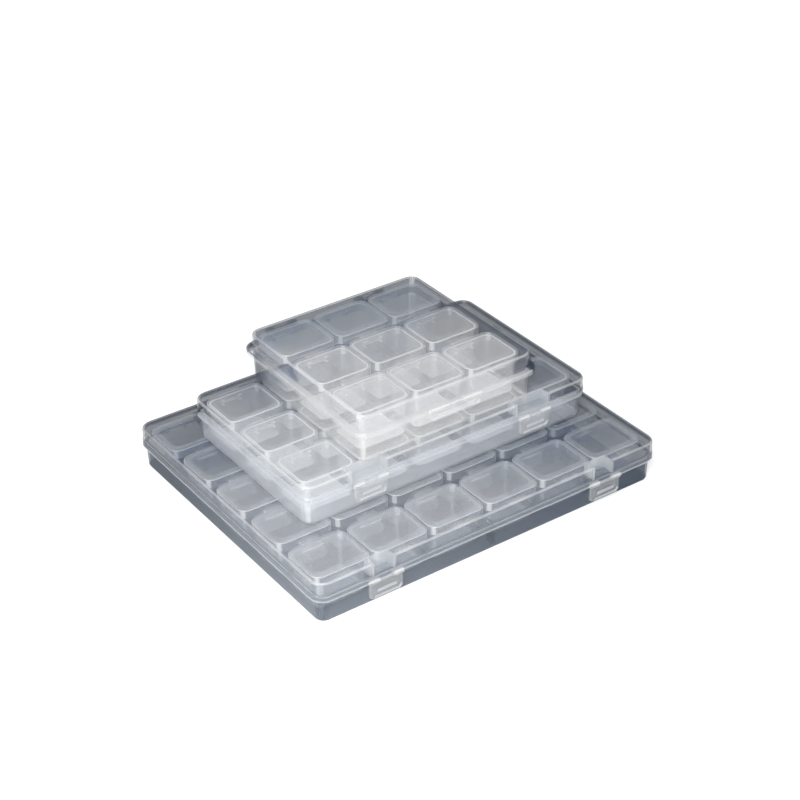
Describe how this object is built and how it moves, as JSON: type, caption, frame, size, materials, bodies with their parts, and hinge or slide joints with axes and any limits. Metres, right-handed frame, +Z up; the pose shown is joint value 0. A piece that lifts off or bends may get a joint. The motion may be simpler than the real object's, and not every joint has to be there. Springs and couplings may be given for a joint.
{
  "type": "compartment organizer",
  "caption": "Stack of clear plastic organizer cases with hinged lids and front latches, each filled with a grid of small cups that have flip lids of their own.",
  "frame": {"origin": "middle of the flat underside of the bottom case", "axes": "+X along the latch side, +Y from the latches to the hinges, +Z up"},
  "size_m": [0.211, 0.1817, 0.0744],
  "materials": {
    "bottom_case": "clear grey polypropylene, moulded smooth",
    "middle_case": "clear grey polypropylene, moulded smooth",
    "top_case": "clear milky polypropylene, moulded smooth",
    "cups": "clear polypropylene, moulded smooth",
    "latches": "clear polypropylene, moulded smooth"
  },
  "bodies": {
    "bottom_base": {"bottom_base": "bottom_case", "bottom_cups_row1": "cups", "bottom_cups_row2": "cups", "bottom_cups_row3": "cups", "bottom_cups_row4": "cups", "bottom_cups_row5": "cups"},
    "bottom_lid": {"bottom_lid": "bottom_case"},
    "bottom_latch_left": {"bottom_latch_left": "latches"},
    "bottom_latch_right": {"bottom_latch_right": "latches"},
    "bottom_cup_lids_row1": {"bottom_cup_lids_row1": "cups"},
    "bottom_cup_lids_row2": {"bottom_cup_lids_row2": "cups"},
    "bottom_cup_lids_row3": {"bottom_cup_lids_row3": "cups"},
    "bottom_cup_lids_row4": {"bottom_cup_lids_row4": "cups"},
    "bottom_cup_lids_row5": {"bottom_cup_lids_row5": "cups"},
    "middle_base": {"middle_base": "middle_case", "middle_cups_row1": "cups", "middle_cups_row2": "cups", "middle_cups_row3": "cups"},
    "middle_lid": {"middle_lid": "middle_case"},
    "middle_latch_left": {"middle_latch_left": "latches"},
    "middle_latch_right": {"middle_latch_right": "latches"},
    "middle_cup_lids_row1": {"middle_cup_lids_row1": "cups"},
    "middle_cup_lids_row2": {"middle_cup_lids_row2": "cups"},
    "middle_cup_lids_row3": {"middle_cup_lids_row3": "cups"},
    "top_base": {"top_base": "top_case", "top_cup_row1_1": "cups", "top_cup_row1_2": "cups", "top_cup_row1_3": "cups", "top_cup_row2_1": "cups", "top_cup_row2_2": "cups", "top_cup_row2_3": "cups", "top_cup_row3_1": "cups", "top_cup_row3_2": "cups", "top_cup_row3_3": "cups"},
    "top_lid": {"top_lid": "top_case"},
    "top_latch": {"top_latch": "latches"},
    "top_cup_lids_row1": {"top_cup_lid_row1_1": "cups", "top_cup_lid_row1_2": "cups", "top_cup_lid_row1_3": "cups"},
    "top_cup_lids_row2": {"top_cup_lid_row2_1": "cups", "top_cup_lid_row2_2": "cups", "top_cup_lid_row2_3": "cups"},
    "top_cup_lids_row3": {"top_cup_lid_row3_1": "cups", "top_cup_lid_row3_2": "cups", "top_cup_lid_row3_3": "cups"}
  },
  "joints": [
    {"name": "bottom_lid_hinge", "type": "hinge", "parent": "bottom_base", "child": "bottom_lid", "pos_m": [0, 0.0896, 0.0128], "axis": [-1, 0, 0], "range_deg": [0, 101]},
    {"name": "bottom_latch_left_hinge", "type": "hinge", "parent": "bottom_lid", "child": "bottom_latch_left", "pos_m": [-0.068, -0.0881, 0.0153], "axis": [-1, 0, 0], "range_deg": [0, 100]},
    {"name": "bottom_latch_right_hinge", "type": "hinge", "parent": "bottom_lid", "child": "bottom_latch_right", "pos_m": [0.068, -0.0881, 0.0153], "axis": [-1, 0, 0], "range_deg": [0, 100]},
    {"name": "bottom_cup_lids_row1_hinge", "type": "hinge", "parent": "bottom_base", "child": "bottom_cup_lids_row1", "pos_m": [0, -0.0506, 0.0167], "axis": [-1, 0, 0], "range_deg": [0, 86]},
    {"name": "bottom_cup_lids_row2_hinge", "type": "hinge", "parent": "bottom_base", "child": "bottom_cup_lids_row2", "pos_m": [0, -0.0176, 0.0167], "axis": [-1, 0, 0], "range_deg": [0, 86]},
    {"name": "bottom_cup_lids_row3_hinge", "type": "hinge", "parent": "bottom_base", "child": "bottom_cup_lids_row3", "pos_m": [0, 0.0154, 0.0167], "axis": [-1, 0, 0], "range_deg": [0, 86]},
    {"name": "bottom_cup_lids_row4_hinge", "type": "hinge", "parent": "bottom_base", "child": "bottom_cup_lids_row4", "pos_m": [0, 0.0484, 0.0167], "axis": [-1, 0, 0], "range_deg": [0, 86]},
    {"name": "bottom_cup_lids_row5_hinge", "type": "hinge", "parent": "bottom_base", "child": "bottom_cup_lids_row5", "pos_m": [0, 0.0814, 0.0167], "axis": [-1, 0, 0], "range_deg": [0, 86]},
    {"name": "middle_lid_hinge", "type": "hinge", "parent": "middle_base", "child": "middle_lid", "pos_m": [0.003, 0.0642, 0.0372], "axis": [-1, 0, 0], "range_deg": [0, 101]},
    {"name": "middle_latch_left_hinge", "type": "hinge", "parent": "middle_lid", "child": "middle_latch_left", "pos_m": [-0.048, -0.0475, 0.0397], "axis": [-1, 0, 0], "range_deg": [0, 100]},
    {"name": "middle_latch_right_hinge", "type": "hinge", "parent": "middle_lid", "child": "middle_latch_right", "pos_m": [0.054, -0.0475, 0.0397], "axis": [-1, 0, 0], "range_deg": [0, 100]},
    {"name": "middle_cup_lids_row1_hinge", "type": "hinge", "parent": "middle_base", "child": "middle_cup_lids_row1", "pos_m": [0.003, -0.01, 0.0401], "axis": [-1, 0, 0], "range_deg": [0, 86]},
    {"name": "middle_cup_lids_row2_hinge", "type": "hinge", "parent": "middle_base", "child": "middle_cup_lids_row2", "pos_m": [0.003, 0.023, 0.0401], "axis": [-1, 0, 0], "range_deg": [0, 86]},
    {"name": "middle_cup_lids_row3_hinge", "type": "hinge", "parent": "middle_base", "child": "middle_cup_lids_row3", "pos_m": [0.003, 0.056, 0.0401], "axis": [-1, 0, 0], "range_deg": [0, 86]},
    {"name": "top_lid_hinge", "type": "hinge", "parent": "top_base", "child": "top_lid", "pos_m": [0.002, 0.0659, 0.0646], "axis": [-1, 0, 0], "range_deg": [0, 100]},
    {"name": "top_latch_hinge", "type": "hinge", "parent": "top_lid", "child": "top_latch", "pos_m": [0.002, -0.0488, 0.0668], "axis": [-1, 0, 0], "range_deg": [0, 100]},
    {"name": "top_cup_lids_row1_hinge", "type": "hinge", "parent": "top_base", "child": "top_cup_lids_row1", "pos_m": [0.002, -0.0098, 0.0671], "axis": [-1, 0, 0], "range_deg": [0, 86]},
    {"name": "top_cup_lids_row2_hinge", "type": "hinge", "parent": "top_base", "child": "top_cup_lids_row2", "pos_m": [0.002, 0.0232, 0.0671], "axis": [-1, 0, 0], "range_deg": [0, 86]},
    {"name": "top_cup_lids_row3_hinge", "type": "hinge", "parent": "top_base", "child": "top_cup_lids_row3", "pos_m": [0.002, 0.0562, 0.0671], "axis": [-1, 0, 0], "range_deg": [0, 86]},
    {"name": "middle_lift", "type": "slide", "parent": "bottom_base", "child": "middle_base", "axis": [0, 0, 1], "range_m": [0, 0.32]},
    {"name": "top_lift", "type": "slide", "parent": "middle_base", "child": "top_base", "axis": [0, 0, 1], "range_m": [0, 0.21]}
  ],
  "couplings": [
    {"joint": "bottom_lid_hinge", "follows": "middle_lift", "rad_per_m": 5.4542},
    {"joint": "bottom_cup_lids_row1_hinge", "follows": "middle_lift", "rad_per_m": 4.636},
    {"joint": "bottom_cup_lids_row2_hinge", "follows": "middle_lift", "rad_per_m": 4.636},
    {"joint": "bottom_cup_lids_row3_hinge", "follows": "middle_lift", "rad_per_m": 4.636},
    {"joint": "bottom_cup_lids_row4_hinge", "follows": "middle_lift", "rad_per_m": 4.636},
    {"joint": "bottom_cup_lids_row5_hinge", "follows": "middle_lift", "rad_per_m": 4.636},
    {"joint": "middle_lid_hinge", "follows": "top_lift", "rad_per_m": 8.3111},
    {"joint": "middle_cup_lids_row1_hinge", "follows": "top_lift", "rad_per_m": 7.0644},
    {"joint": "middle_cup_lids_row2_hinge", "follows": "top_lift", "rad_per_m": 7.0644},
    {"joint": "middle_cup_lids_row3_hinge", "follows": "top_lift", "rad_per_m": 7.0644},
    {"joint": "top_cup_lids_row1_hinge", "follows": "top_lid_hinge", "ratio": 0.85},
    {"joint": "top_cup_lids_row2_hinge", "follows": "top_lid_hinge", "ratio": 0.85},
    {"joint": "top_cup_lids_row3_hinge", "follows": "top_lid_hinge", "ratio": 0.85}
  ]
}
